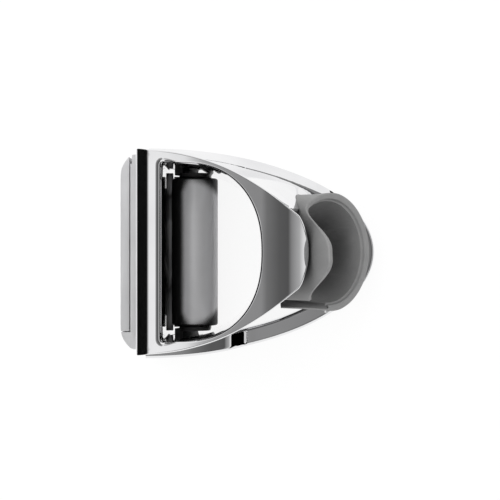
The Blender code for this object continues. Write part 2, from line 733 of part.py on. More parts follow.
def build_carrier(material):
    """The yoke under the roller: two cheeks that guide it, and a bridge that carries the foot plate."""
    left = ROLLER_X - CHEEK_HALF
    bridge_half = CHEEK_IN + CHEEK / 2
    carrier = box(
        "roller_carrier",
        (BRIDGE_X, -bridge_half, BRIDGE_LOW + LIP),
        (ROLLER_X + CHEEK_HALF - LIP, bridge_half, BRIDGE_TOP),
        PARTS,
        material,
    )
    rebate = box(
        "foot rebate",
        (BRIDGE_X - OVER, -FOOT_HALF - GAP, FOOT_TOP - FOOT_THICK - RUN),
        (FOOT_END_X + GAP, FOOT_HALF + GAP, BRIDGE_TOP + OVER),
        CUTTERS,
    )
    for side in (-1, 1):
        ends = sorted((side * CHEEK_IN, side * CHEEK_OUT))
        head = arc((ROLLER_X, ROLLER_RISE), CHEEK_HALF, 0, 180, 14)
        outline = [(left, BRIDGE_LOW), (ROLLER_X + CHEEK_HALF, BRIDGE_LOW), *head]
        cheek = side_prism("cheek", outline, *ends, CUTTERS)
        rib_ends = sorted((side * (CHEEK_IN + CHEEK / 2), side * (CHEEK_OUT + RIB_DEPTH)))
        rib = side_prism("rib", rib_outline(0, RIB_LOW, RIB_HIGH), *rib_ends, CUTTERS)
        join(carrier, cheek, rib)
    reach = CHEEK_OUT + OVER
    hole = cylinder(
        "axle hole",
        AXLE_RADIUS + RUN,
        (ROLLER_X, -reach, ROLLER_RISE),
        (ROLLER_X, reach, ROLLER_RISE),
        CUTTERS,
        segments=48,
    )
    cut(carrier, hole, rebate)
    for side in (-1, 1):
        ends = rivet_ends(side, 0, BRIDGE_TOP + OVER)
        cut(carrier, cylinder("bridge rivet hole", RIVET_RADIUS + RUN, *ends, CUTTERS, segments=24))


def build_springs(material):
    """Two coil springs that press the carrier down into the wedge."""
    low = FOOT_TOP + GAP + SPRING_WIRE
    high = SPRING_TOP - SPRING_WIRE
    per_turn = 11
    count = SPRING_TURNS * per_turn + 1
    flat = per_turn * SPRING_FLAT
    for name, side in (("carrier_spring_left", -1), ("carrier_spring_right", 1)):
        curve = bpy.data.curves.new(name, "CURVE")
        curve.dimensions = "3D"
        curve.bevel_depth = SPRING_WIRE
        curve.bevel_resolution = 2
        curve.use_fill_caps = True
        line = curve.splines.new("POLY")
        line.points.add(count - 1)
        for i, point in enumerate(line.points):
            turn = 2 * math.pi * i / per_turn
            # The first and last turns lie nearly flat, as on a closed-end spring.
            rise = min(1.0, max(0.0, (i - flat) / (count - 1 - 2 * flat)))
            z = low + (high - low) * (i / count + per_turn * 2 * rise) / (1 + per_turn * 2)
            point.co = (SPRING_RADIUS * math.cos(turn), SPRING_RADIUS * math.sin(turn), z, 1)
        curve.materials.append(material)
        obj = bpy.data.objects.new(name, curve)
        obj.location = (SPRING_X, side * SPRING_PLACE, 0)
        PARTS.objects.link(obj)


def slab_outline():
    """The back slab's outline, with its two slanted and rounded ends."""
    inner = BACK_X - GAP
    depth = COVER_DEPTH - GAP
    half = smooth_through([(inner - depth * a, SLEEVE_HALF * b) for a, b in SLAB_END], 3)
    return [tuple(point) for point in half] + [(x, -y) for x, y in reversed(half)]


def slab(name, collection, material=None):
    return prism(name, slab_outline(), 0, COVER_HEIGHT, collection, material)


def knuckle_heights():
    """Low and high ends of the plate's two hinge knuckles."""
    lows = [COVER_HEIGHT * place - KNUCKLE_HEIGHT / 2 for place in KNUCKLE_PLACES]
    return [(z, z + KNUCKLE_HEIGHT) for z in lows]


def pin_hole(name, low):
    ends = ((HINGE_X, HINGE_Y, low), (HINGE_X, HINGE_Y, COVER_HEIGHT - PIN_END + GAP))
    return cylinder(name, PIN_RADIUS + RUN, *ends, CUTTERS, segments=24)


def build_cover(material):
    """The back cover: closes the foot relief and carries the release plate's hinge."""
    cover = slab("back_cover", PARTS, material)
    room = box(
        "plate room",
        (COVER_X - OVER, -PLATE_END - GAP, -OVER),
        (SEAM_X + GAP, SLEEVE_HALF + OVER, COVER_HEIGHT + OVER),
        CUTTERS,
    )
    window_half = TONGUE_BAR_HALF + SWING_ROOM
    window_top = ramp_height(BACK_X) + 3 * GAP
    window = box(
        "tongue window",
        (COVER_X, TONGUE_BAR_Y - window_half, -OVER),
        (BACK_X + OVER, TONGUE_BAR_Y + window_half, window_top),
        CUTTERS,
    )
    heel_room = box(
        "plate heel room",
        (SEAM_X, HINGE_Y + KNUCKLE, -OVER),
        (SEAM_X + GAP + HEEL_SWING, SLEEVE_HALF + OVER, COVER_HEIGHT + OVER),
        CUTTERS,
    )
    cut(cover, room, heel_room, window, pin_hole("cover pin hole", -OVER))
    for low, high in knuckle_heights():
        wide = KNUCKLE + KNUCKLE_ROOM
        pocket = box(
            "knuckle pocket",
            (SEAM_X - OVER, HINGE_Y - wide, low - GAP),
            (BACK_X + OVER, HINGE_Y + wide, high + GAP),
            CUTTERS,
        )
        cut(cover, pocket)
    for side in (-1, 1):
        for place in SCREW_PLACES:
            y = side * place
            way = cylinder(
                "screw way",
                SCREW_RADIUS + GAP,
                (COVER_X, y, SCREW_RISE),
                (BACK_X + OVER, y, SCREW_RISE),
                CUTTERS,
                segments=20,
            )
            sink = SEAM_X + GAP + SCREW_HEAD_HEIGHT + GAP
            recess = cylinder(
                "screw recess",
                SCREW_HEAD + GAP,
                (COVER_X, y, SCREW_RISE),
                (sink, y, SCREW_RISE),
                CUTTERS,
                segments=28,
            )
            cut(cover, way, recess)


def build_plate(material):
    """The release plate: hinged at one end, with a ramped tongue that lifts the carrier's foot."""
    plate = slab("release_plate", PARTS, material)
    plate.location = (HINGE_X, HINGE_Y, 0)
    plate.data.transform(Matrix.Translation((-HINGE_X, -HINGE_Y, 0)))
    behind = box("behind the plate", (SEAM_X, -FAR, -FAR), (0, FAR, FAR), CUTTERS)
    past_end = box("past the plate", (-FAR, -FAR, -FAR), (0, -PLATE_END, FAR), CUTTERS)
    under = box("under the plate", (-FAR, -FAR, -FAR), (0, FAR, PLATE_LOW), CUTTERS)
    cut(plate, behind, past_end, under)
    for low, high in knuckle_heights():
        ends = ((HINGE_X, HINGE_Y, low + GAP), (HINGE_X, HINGE_Y, high - GAP))
        knuckle = cylinder("knuckle", KNUCKLE, *ends, CUTTERS, segments=32)
        neck = box(
            "knuckle neck",
            (SEAM_X - PLATE_THICK / 2, HINGE_Y - NECK_HALF, low + GAP),
            (HINGE_X, HINGE_Y + NECK_HALF, high - GAP),
            CUTTERS,
        )
        join(plate, knuckle, neck)
    start = SEAM_X - PLATE_THICK / 2
    bend = BAR_X - FOOT_BACK - OVER
    tip = tongue_tip_x()
    outline = [
        (start, TONGUE_BAR_LOW),
        (tip, TONGUE_BAR_LOW),
        (tip, ramp_height(tip)),
        (bend, ramp_height(bend)),
        (start, ramp_height(start)),
    ]
    ends = (TONGUE_BAR_Y - TONGUE_BAR_HALF, TONGUE_BAR_Y + TONGUE_BAR_HALF)
    join(plate, side_prism("release tongue", outline, *ends, CUTTERS))
    cut(plate, pin_hole("plate pin hole", 0))


def build_hinge_pin(material):
    start = (HINGE_X, HINGE_Y, PIN_END / 2)
    end = (HINGE_X, HINGE_Y, COVER_HEIGHT - PIN_END)
    cylinder("plate_hinge_pin", PIN_RADIUS, start, end, PARTS, material, segments=24)


def build_screw(name, place, direction, length, material):
    """A socket screw with its head at place and its shank along direction."""
    profile = [
        (0, 0),
        (SCREW_HEAD - EDGE / 2, 0),
        (SCREW_HEAD, EDGE / 2),
        (SCREW_HEAD, SCREW_HEAD_HEIGHT),
        (SCREW_RADIUS, SCREW_HEAD_HEIGHT),
        (SCREW_RADIUS, SCREW_HEAD_HEIGHT + length - EDGE),
        (SCREW_RADIUS - EDGE, SCREW_HEAD_HEIGHT + length),
        (0, SCREW_HEAD_HEIGHT + length),
    ]
    screw = finish_mesh(revolve(profile, 24), name, PARTS, material)
    ends = ((0, 0, -OVER), (0, 0, SCREW_SOCKET_DEPTH))
    socket = cylinder(name + " socket", SCREW_SOCKET, *ends, CUTTERS, segments=6)
    for obj in (screw, socket):
        obj.location = place
        obj.rotation_euler = Vector(direction).to_track_quat("Z", "Y").to_euler()
    cut(screw, socket)


def build_screws(material):
    for side, hand in ((-1, "left"), (1, "right")):
        for place, end in zip(SCREW_PLACES, ("inner", "outer")):
            start = (SEAM_X + GAP, side * place, SCREW_RISE)
            build_screw(f"cover_screw_{hand}_{end}", start, (1, 0, 0), SCREW_LENGTH, material)
    length = INSERT_SCREW_TOP - SCREW_HEAD_HEIGHT - 2 * GAP
    build_screw("insert_screw", (INSERT_SCREW_X, 0, 2 * GAP), (0, 0, 1), length, material)


clear_scene()
PARTS = new_collection("shower_rail_slider")
CUTTERS = new_collection("cutters")

chrome = new_material("chrome", (0.83, 0.83, 0.84), 0.06, 1.0)
grey_plastic = new_material("grey plastic", (0.25, 0.25, 0.25), 0.55, 0.0)
dark_plastic = new_material("dark plastic", (0.03, 0.03, 0.03), 0.5, 0.0)
pale_plastic = new_material("pale plastic", (0.7, 0.7, 0.68), 0.45, 0.0)
steel = new_material("steel", (0.55, 0.55, 0.56), 0.3, 1.0)
satin_chrome = new_material("satin chrome", (0.75, 0.75, 0.76), 0.35, 1.0)

build_body(chrome)
build_cup_insert(grey_plastic)
build_roller(chrome)
build_bushes(pale_plastic)
build_axle(steel)
build_carrier(dark_plastic)
build_foot(steel)
build_rivets(steel)
build_springs(steel)
build_cover(satin_chrome)
build_plate(satin_chrome)
build_hinge_pin(steel)
build_screws(steel)
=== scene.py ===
"""Looks of the shower rail slider: mirror chrome body, textured grey cup, satin wall side, in a small studio.

Metres, +Z up along the rail, -X towards the wall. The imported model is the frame. The body, the cup and
the roller are built again here with fine meshes, because a mirror finish shows every facet. The smaller
parts are refined copies of their solids.
"""

import math

import bmesh
import bpy
import numpy as np
from mathutils import Matrix, Vector


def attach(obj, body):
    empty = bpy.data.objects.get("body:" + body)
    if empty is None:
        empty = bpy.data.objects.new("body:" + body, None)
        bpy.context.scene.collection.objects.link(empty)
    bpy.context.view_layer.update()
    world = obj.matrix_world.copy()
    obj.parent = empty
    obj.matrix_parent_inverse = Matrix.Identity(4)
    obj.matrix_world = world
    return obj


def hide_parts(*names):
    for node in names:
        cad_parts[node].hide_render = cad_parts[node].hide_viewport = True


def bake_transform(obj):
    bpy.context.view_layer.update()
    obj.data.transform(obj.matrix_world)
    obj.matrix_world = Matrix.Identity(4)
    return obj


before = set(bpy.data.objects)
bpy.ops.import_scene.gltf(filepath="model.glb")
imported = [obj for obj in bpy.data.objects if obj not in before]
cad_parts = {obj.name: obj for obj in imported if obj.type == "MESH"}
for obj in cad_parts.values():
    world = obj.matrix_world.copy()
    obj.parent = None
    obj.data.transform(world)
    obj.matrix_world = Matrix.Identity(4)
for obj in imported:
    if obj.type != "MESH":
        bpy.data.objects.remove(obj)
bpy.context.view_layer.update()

# Sleeve
HEIGHT = 0.046
SLEEVE_DEPTH = 0.0437
SLEEVE_HALF = 0.026
BAR = 0.0065  # depth of the bar between the wall side and the opening
BAR_ROUND = 0.0034
EDGE = 0.0006
NOSE_FALL = 0.0045
CORNER = 0.0004
TOP_EDGE = 0.0004

# Opening for the rail
HOLE_HALF = 0.0224
HOLE_BULGE = 0.0046
HOLE_FRONT = 0.0121
HOLE_POWER = 2.3
HOLE_FLARE = 0.0005
HOLE_EDGE = 0.0004
BAR_INNER_ROUND = 0.0013  # the bar's edge over the opening

# Base hoop and side web
HOOP_SET = 0.0005
HOOP_REACH = 0.0624
HOOP_HALF = 0.0289
HOOP_SIDE = 0.0049
HOOP_END = 0.0058
HOOP_HEIGHT = 0.0080
HOOP_FRONT_RISE = 0.0025
HOOP_RISE_FROM = 0.0205  # the front's rise begins out of sight under the cup
HOOP_EDGE = 0.0010
SKIRT_LOW = 0.0030
SKIRT_FADE = (0.0080, 0.0300)  # from where the slope below the web runs out, and to where
WEB_DROP = 0.0008
WEB_WALL = 0.0015
WEB_BREAK = 0.0028
WEB_SINK = 0.0010
WEB_TUCK = 0.0003
WEB_END = 0.0490

# Handset cup
CUP_TILT = math.radians(45)
CUP_REACH = 0.0501
CUP_RISE = 0.0246
CUP_OUTER = 0.0154
CUP_MOUTH = 0.0140
CUP_BORE_END = 0.0118
CUP_DEEP = 0.0330
CUP_LEAD = 0.0007
CUP_LEAD_WIDTH = 0.0005
RIM_ROUND = 0.0005
COLLAR = 0.0005  # how much wider the rim is away from the tongue
COLLAR_DEEP = 0.0060
COLLAR_FROM = math.radians(70)
COLLAR_TO = math.radians(110)
CUP_CLEAR = 0.0001
HOSE_WAY_RADIUS = 0.0064
SCREW_TIP_Z = 0.0094
TONGUE = 0.0134
TONGUE_FLAT = math.radians(4)
TONGUE_SIDE = math.radians(60)
TONGUE_LEAN = math.radians(3)
SLOT_FROM = math.radians(58)
SLOT_TO = math.radians(86)
NOSE_WALL = 0.0053
CUP_FLOOR = 0.0020
HOSE_RADIUS = 0.0075

# Clamp roller, carrier, springs and screws, as far as the shapes here depend on them
ROLLER_RADIUS = 0.00625
ROLLER_END = 0.0025
ROLLER_BORE = 0.0045
ROLLER_BACK = 0.0010
ROLLER_RISE = 0.0140
CHEEK = 0.0011
RAMP = math.radians(20)
RIB_BACK = 0.0024
RIB_WIDTH = 0.0022
RIB_DEPTH = 0.0016
RIB_LOW = 0.0045
RIB_HIGH = 0.0150
CARRIER_LIFT = 0.0014
RELIEF_TOP = 0.0090
SPRING_TOP = 0.0235
SPRING_FROM_BAR = 0.0026
SPRING_PLACE = 0.0140
SPRING_BORE = 0.00235
SCREW_RADIUS = 0.0011
SCREW_HEAD = 0.0020
SCREW_HEAD_HEIGHT = 0.0012
SCREW_RISE = 0.0155
SCREW_PLACES = (0.0070, 0.0180)
SCREW_LENGTH = 0.0060
INSERT_SCREW_PAST = 0.0054
COVER_DEPTH = 0.00575
GAP = 0.0003
OVER = 0.0010
FAR = 0.1  # well past every face

# Places that follow from the sizes above
BACK_X = COVER_DEPTH - (COVER_DEPTH + HOOP_SET + HOOP_REACH) / 2
HOOP_X = BACK_X + HOOP_SET
HOOP_END_X = HOOP_X + HOOP_REACH
NOSE_X = BACK_X + SLEEVE_DEPTH
BAR_X = BACK_X + BAR
SPRING_X = BAR_X - SPRING_FROM_BAR
HOLE_X = BAR_X + HOLE_BULGE
HOLE_FRONT_X = NOSE_X - HOLE_FRONT
HOLE_REACH = HOLE_FRONT_X - HOLE_X
CUP_WALL_X = HOLE_FRONT_X + NOSE_WALL
CUP_PLACE = Vector((BACK_X + CUP_REACH, 0, CUP_RISE))
INSERT_SCREW_X = CUP_PLACE.x + INSERT_SCREW_PAST
ROLLER_HALF = HOLE_HALF - ROLLER_END
ROLLER_X = BAR_X + ROLLER_BACK + ROLLER_RADIUS
HOSE_X = CUP_WALL_X + GAP + HOSE_RADIUS
CHEEK_IN = ROLLER_HALF + GAP
WING_HALF = HOLE_HALF - 2 * GAP

# The hoop's top on its way from the bar to the cup: distance from its back end, and height
HOOP_FALL = (
    (0, 0.0158),
    (0.0125, 0.0151),
    (0.0190, 0.0136),
    (0.0225, 0.0122),
    (0.0250, 0.0101),
    (0.0273, 0.0083),
    (0.0292, HOOP_HEIGHT),
    (0.0450, HOOP_HEIGHT),
)

# One side of the sleeve from above: share of its depth, and of its half width
FLANK = (
    (0, 1),
    (0.258, 0.952),
    (0.493, 0.836),
    (0.699, 0.652),
    (0.905, 0.402),
    (0.955, 0.318),
    (0.99, 0.15),
    (1, 0),
)

# How finely the mirror-finished forms are divided
LOOP_COUNTS = (121, 221)  # points along the bar, and along each side
ARCH_POINTS = 161
TOP_ROWS = 44
TOP_SPACING = 1.5  # above 1 the rows lie closer together at the outer edge
HOOP_STATIONS = 721
HOOP_TOP_SHARES = (0.22, 0.78, 37)  # first and last place across the hoop's top, and how many
WEB_STATIONS = 160
WEB_ACROSS = 12
CUP_STATIONS = 300
CUP_END_STATIONS = 3  # how many stations round off each side of the slot
TUBE_SEGMENTS = 256
ROLLER_SEGMENTS = 192
CURVE_STEPS = 24
FALL_STEPS = 16

# Widths of the fine edges on the copied parts
FINE_EDGE = 0.00012
PIN_EDGE = 0.0001
SMALL_EDGE = 0.00008

# Edges stay sharp over these angles, in degrees
CASTING_CREASE = 34
CUP_CREASE = 50
PART_CREASE = 40

# Surfaces: size of the slow change in tone, and depth of the grain
METAL_CLOUD = 0.012
METAL_GRAIN_DEPTH = 0.00002
PLASTIC_CLOUD = 0.009
PLASTIC_GRAIN_DEPTH = 0.00006

# Painted shade: how near other faces darken a surface's colour, the share of its colour left there, and the
# open shares between which it fades
CUP_REACH_OF_SHADE = 0.02
CUP_FADE = (0.33, 0.9)
ROLLER_REACH_OF_SHADE = 0.0065
ROLLER_SHADE_LEVEL = 0.02
ROLLER_FADE = (0.6, 0.8)

# Camera: it looks straight down along the rail
CAMERA_PLACE = (0.000175, 0.0005, 0.411)
CAMERA_LENS = 105.1
CAMERA_SENSOR = 36
CAMERA_CLIP = 0.01

# Studio: an arched tent of cards along Y, seen only by reflections
TENT_RADIUS = 0.9
TENT_HALF_LENGTH = 0.75
TENT_HALF_ANGLE = 110
TENT_STEPS = 96
FLOOR_HALF = 3.0
FLOOR_TONE = 0.9
FLOOR_GLOW = 0.86  # share of the seen floor's tone that glows. The rest takes light and shadow.
FLOOR_WHITE = 1.05
FLAG_X = -0.078
FLAG_HALF_WIDTH = 0.3
FLAG_HEIGHT = 0.2
FLAG_TONE = 0.01
WORLD_LEVEL = 0.62
KEY_LEVEL = 5.0
KEY_SIZE = 0.9
KEY_PLACE = (-0.35, 0.25, 0.95)

# The tent's brightness by angle from straight up, positive towards +X
TENT_STOPS = (
    (-110, 0.0),
    (-24, 0.0),
    (-19, 0.02),
    (-9, 0.55),
    (-5, 1.0),
    (-3.3, 0.9),
    (-2.7, 0.5),
    (-1.5, 0.36),
    (0, 0.3),
    (10, 0.19),
    (31, 0.115),
    (45, 0.10),
    (50, 0.26),
    (61, 0.46),
    (67, 0.85),
    (71, 0.85),
    (74, 0.0),
    (110, 0.0),
)


def studio_object(obj, shadow=False):
    """Sets whether a piece of the studio casts a shadow: only where that is asked."""
    obj.visible_shadow = shadow
    return obj


def new_object(name, mesh):
    obj = bpy.data.objects.new(name, mesh)
    bpy.context.scene.collection.objects.link(obj)
    return obj


class Nodes:
    """Adds shader nodes to one tree in a line each."""

    def __init__(self, tree):
        self.tree = tree

    def add(self, kind, inputs=None, **settings):
        node = self.tree.nodes.new(kind)
        for name, value in settings.items():
            setattr(node, name, value)
        for name, value in (inputs or {}).items():
            if isinstance(value, bpy.types.NodeSocket):
                self.link(value, node.inputs[name])
            else:
                node.inputs[name].default_value = value
        return node

    def math(self, operation, *values):
        node = self.add("ShaderNodeMath", operation=operation)
        for socket, value in zip(node.inputs, values):
            if isinstance(value, bpy.types.NodeSocket):
                self.link(value, socket)
            else:
                socket.default_value = value
        return node.outputs[0]

    def link(self, value, socket):
        self.tree.links.new(value, socket)

    def ramp(self, factor, stops):
        """A colour ramp from (place, grey or colour) stops."""
        node = self.add("ShaderNodeValToRGB", {"Fac": factor})
        ramp = node.color_ramp
        while len(ramp.elements) < len(stops):
            ramp.elements.new(0.5)
        for element, (place, value) in zip(ramp.elements, stops):
            element.position = place
            colour = value if hasattr(value, "__len__") else (value,) * 3
            element.color = (*colour, 1)
        return node.outputs["Color"]


def new_material(name):
    material = bpy.data.materials.new(name)
    material.use_nodes = True
    nodes = Nodes(material.node_tree)
    return material, nodes, material.node_tree.nodes["Principled BSDF"]


def card_material(name, make_surface):
    """A material for a piece of the studio, whose surface is the socket that make_surface returns."""
    material, nodes, shader = new_material(name)
    nodes.tree.nodes.remove(shader)
    nodes.link(make_surface(nodes), nodes.tree.nodes["Material Output"].inputs["Surface"])
    return material


def seen_rays(nodes):
    """1 for camera, glossy and transmission rays, which all see the white background."""
    path = nodes.add("ShaderNodeLightPath")
    rays = nodes.math("MAXIMUM", path.outputs["Is Camera Ray"], path.outputs["Is Glossy Ray"])
    return nodes.math("MAXIMUM", rays, path.outputs["Is Transmission Ray"])


def make_camera():
    data = bpy.data.cameras.new("camera")
    data.lens = CAMERA_LENS
    data.sensor_width = CAMERA_SENSOR
    data.clip_start = CAMERA_CLIP
    camera = new_object("camera", data)
    camera.location = CAMERA_PLACE
    bpy.context.scene.camera = camera


def make_world():
    world = bpy.data.worlds.new("studio")
    bpy.context.scene.world = world
    world.use_nodes = True
    nodes = Nodes(world.node_tree)
    background = world.node_tree.nodes["Background"]
    background.inputs["Color"].default_value = (1, 1, 1, 1)
    level = nodes.add(
        "ShaderNodeMapRange",
        {"Value": seen_rays(nodes), "To Min": WORLD_LEVEL, "To Max": 1.0},
    )
    nodes.link(level.outputs[0], background.inputs["Strength"])


def sheet(name, corners):
    mesh = bpy.data.meshes.new(name)
    mesh.from_pydata(corners, [], [(0, 1, 2, 3)])
    return new_object(name, mesh)


def floor_surface(nodes):
    """A pale floor that takes light and shadow, and glows where it is seen."""
    diffuse = nodes.add("ShaderNodeBsdfDiffuse", {"Color": (FLOOR_TONE, FLOOR_TONE, FLOOR_TONE, 1)})
    glow = nodes.add("ShaderNodeEmission", {"Color": (1, 1, 1, 1), "Strength": FLOOR_WHITE})
    share = nodes.math("MULTIPLY", seen_rays(nodes), FLOOR_GLOW)
    return nodes.add("ShaderNodeMixShader", {0: share, 1: diffuse.outputs[0], 2: glow.outputs[0]}).outputs[0]


def make_floor():
    corners = [(x * FLOOR_HALF, y * FLOOR_HALF, 0) for x, y in ((-1, -1), (1, -1), (1, 1), (-1, 1))]
    floor = studio_object(sheet("floor", corners), shadow=True)
    floor.data.materials.append(card_material("pale floor", floor_surface))


def glossy_only(obj):
    """Leaves a card out of everything but reflections."""
    obj.visible_camera = False
    obj.visible_diffuse = False
    obj.visible_transmission = False


def make_flag():
    """An upright black card behind the slider, just out of view."""
    low, high = -FLAG_HALF_WIDTH, FLAG_HALF_WIDTH
    corners = [(FLAG_X, low, 0), (FLAG_X, high, 0), (FLAG_X, high, FLAG_HEIGHT), (FLAG_X, low, FLAG_HEIGHT)]
    flag = studio_object(sheet("flag", corners))
    glossy_only(flag)
    material, _, shader = new_material("black card")
    shader.inputs["Base Color"].default_value = (FLAG_TONE, FLAG_TONE, FLAG_TONE, 1)
    shader.inputs["Roughness"].default_value = 1.0
    shader.inputs["Specular IOR Level"].default_value = 0.0
    flag.data.materials.append(material)


def tent_surface(nodes):
    """Light that follows TENT_STOPS round the arch."""
    place = nodes.add("ShaderNodeSeparateXYZ", {0: nodes.add("ShaderNodeTexCoord").outputs["Object"]})
    angle = nodes.math("ARCTAN2", place.outputs["X"], place.outputs["Z"])
    span = math.radians(TENT_HALF_ANGLE)
    share = nodes.add(
        "ShaderNodeMapRange",
        {"Value": angle, "From Min": -span, "From Max": span, "To Min": 0.0, "To Max": 1.0},
    )
    stops = [((a + TENT_HALF_ANGLE) / (2 * TENT_HALF_ANGLE), level) for a, level in TENT_STOPS]
    level = nodes.ramp(share.outputs[0], stops)
    return nodes.add("ShaderNodeEmission", {"Color": level, "Strength": 1.0}).outputs[0]


def make_tent():
    """The arch of cards: dark flags and soft strips above the object, open at both ends."""
    verts = []
    for i in range(TENT_STEPS + 1):
        angle = math.radians(TENT_HALF_ANGLE * (2 * i / TENT_STEPS - 1))
        x, z = TENT_RADIUS * math.sin(angle), TENT_RADIUS * math.cos(angle)
        verts += [(x, -TENT_HALF_LENGTH, z), (x, TENT_HALF_LENGTH, z)]
    faces = [(2 * i, 2 * i + 1, 2 * i + 3, 2 * i + 2) for i in range(TENT_STEPS)]
    mesh = bpy.data.meshes.new("tent")
    mesh.from_pydata(verts, [], faces)
    tent = studio_object(new_object("tent", mesh))
    glossy_only(tent)
    mesh.materials.append(card_material("studio cards", tent_surface))


def make_key():
    """A large soft lamp high up, on the wall side and the closed side."""
    data = bpy.data.lights.new("key", "AREA")
    data.shape = "DISK"
    data.size = KEY_SIZE
    data.energy = KEY_LEVEL
    key = new_object("key", data)
    key.location = KEY_PLACE
    key.rotation_euler = (-Vector(key.location)).to_track_quat("-Z", "Y").to_euler()
    key.visible_glossy = False
    key.visible_camera = False


def surface_noise(nodes, size, detail=3.0):
    """Noise with features of about that size in metres, in the object's own space."""
    place = nodes.add("ShaderNodeTexCoord").outputs["Object"]
    noise = nodes.add(
        "ShaderNodeTexNoise",
        {"Vector": place, "Scale": 1 / size, "Detail": detail, "Roughness": 0.6},
    )
    return noise.outputs["Fac"]


def painted_shade(nodes, tone, reach, shade_level, fade):
    """Painted shade: the colour is brought down towards the given share of itself where other faces within
    reach close the form in.
    """
    open_share = nodes.add("ShaderNodeAmbientOcclusion", {"Distance": reach}).outputs["AO"]
    level = nodes.add(
        "ShaderNodeMapRange",
        {"Value": open_share, "From Min": fade[0], "From Max": fade[1], "To Min": shade_level, "To Max": 1.0},
    )
    return nodes.add("ShaderNodeVectorMath", {0: tone, 1: level.outputs[0]}, operation="MULTIPLY").outputs[0]


def lay_surface(nodes, shader, tone, fine, gloss, bump, depth):
    """Gives the shader its tone, and a gloss and a relief that follow the fine noise."""
    nodes.link(tone, shader.inputs["Base Color"])
    level = nodes.add("ShaderNodeMapRange", {"Value": fine, "To Min": gloss[0], "To Max": gloss[1]})
    nodes.link(level.outputs[0], shader.inputs["Roughness"])
    relief = nodes.add("ShaderNodeBump", {"Height": fine, "Strength": bump, "Distance": depth})
    nodes.link(relief.outputs[0], shader.inputs["Normal"])


def metal(name, dark, light, gloss, bump, grain=0.0015, metallic=1.0, reach=0.0):
    """A metal whose tone and gloss vary a little, with a fine grain, and, when a reach is given, painted
    shade that darkens its colour within reach of other faces.
    """
    material, nodes, shader = new_material(name)
    shader.inputs["Metallic"].default_value = metallic
    tone = nodes.ramp(surface_noise(nodes, METAL_CLOUD), ((0.3, dark), (0.7, light)))
    if reach:
        # Painted shade: the colour darkens where other faces close round the surface
        tone = painted_shade(nodes, tone, reach, ROLLER_SHADE_LEVEL, ROLLER_FADE)
    fine = surface_noise(nodes, grain, 5.0)
    lay_surface(nodes, shader, tone, fine, gloss, bump, METAL_GRAIN_DEPTH)
    return material


def plastic(name, dark, light, gloss, bump, grain=0.0004, shade_level=1.0):
    """A moulded plastic with a spark-eroded texture, and painted shade that brings its colour down to the
    given share where the form closes in.
    """
    material, nodes, shader = new_material(name)
    cloud = surface_noise(nodes, PLASTIC_CLOUD, 2.0)
    fine = surface_noise(nodes, grain, 4.0)
    mixed = nodes.math("MULTIPLY_ADD", fine, 0.35, nodes.math("MULTIPLY", cloud, 0.65))
    tone = nodes.ramp(mixed, ((0.35, dark), (0.65, light)))
    # Painted shade: the colour darkens where the form closes in
    if shade_level < 1:
        tone = painted_shade(nodes, tone, CUP_REACH_OF_SHADE, shade_level, CUP_FADE)
    lay_surface(nodes, shader, tone, fine, gloss, bump, PLASTIC_GRAIN_DEPTH)
    return material


def smooth_through(points, steps):
    """A smooth curve through the points, with that many steps between two of them."""
    points = [Vector(point) for point in points]
    ends = [2 * points[0] - points[1]] + points + [2 * points[-1] - points[-2]]
    curve = []
    for a, b, c, d in zip(ends, ends[1:], ends[2:], ends[3:]):
        for step in range(steps):
            t = step / steps
            bend = (2 * a - 5 * b + 4 * c - d) * t * t + (3 * b - a - 3 * c + d) * t**3
            curve.append((2 * b + (c - a) * t + bend) / 2)
    return curve + [points[-1]]


def flank_curve():
    """One side of the sleeve's top outline, from the back corner to the nose tip."""
    rows = [(BACK_X + SLEEVE_DEPTH * a, SLEEVE_HALF * b) for a, b in FLANK]
    mirrored = [*rows, (rows[-2][0], -rows[-2][1])]
    return np.array([(p[0], p[1]) for p in smooth_through(mirrored, CURVE_STEPS)[:-CURVE_STEPS]])


FLANK_LINE = flank_curve()


def sleeve_half_at(x):
    return float(np.interp(x, FLANK_LINE[:, 0], FLANK_LINE[:, 1]))


def hoop_half_at(x):
    share = (x - HOOP_X) / HOOP_REACH
    return HOOP_HALF * math.sqrt(max(0.0, 1 - share * share))


def ease(share):
    """0 to 1 with soft ends as share goes from 0 to 1."""
    share = min(1.0, max(0.0, share))
    return (1 - math.cos(math.pi * share)) / 2


FALL_LINE = np.array([(HOOP_X + p[0], p[1]) for p in smooth_through(HOOP_FALL, FALL_STEPS)])


def hoop_top_at(x):
    """Height of the hoop: a shoulder that drops towards the cup, level, then rising at the front."""
    rise = HOOP_FRONT_RISE * ease((x - HOOP_RISE_FROM) / (HOOP_END_X - HOOP_END - HOOP_RISE_FROM))
    return float(np.interp(x, FALL_LINE[:, 0], FALL_LINE[:, 1])) + rise


def skirt_top_at(x, y):
    """Height of the slope below the web, on the closed side. It runs out under the cup."""
    fade_from, fade_to = SKIRT_FADE
    fade = ease((x - fade_from) / (fade_to - fade_from))
    inner = hoop_half_at(max(x, HOOP_X)) - WEB_BREAK
    if y < inner or x > fade_to:
        return HEIGHT
    fall = (hoop_top_at(x) - SKIRT_LOW) * (1 - fade)
    return hoop_top_at(x) + EDGE * fade - fall * (y - inner) / WEB_BREAK


def sleeve_top_at(x):
    """Height of the sleeve's top: round over the bar, level, then falling over the nose."""
    in_bar = BAR_ROUND - (x - BACK_X)
    if in_bar > 0:
        in_bar = min(in_bar, BAR_ROUND)
        return HEIGHT - BAR_ROUND + math.sqrt(BAR_ROUND**2 - in_bar**2)
    share = max(0.0, (x - HOLE_FRONT_X) / HOLE_FRONT)
    return HEIGHT - NOSE_FALL * share * share


def spread(line, count):
    """The line again, with that many points at equal steps along it."""
    line = np.array([tuple(p)[:2] for p in line], float)
    along = np.concatenate([[0], np.cumsum(np.linalg.norm(np.diff(line, axis=0), axis=1))])
    places = np.linspace(0, along[-1], count)
    return np.column_stack([np.interp(places, along, line[:, k]) for k in (0, 1)])


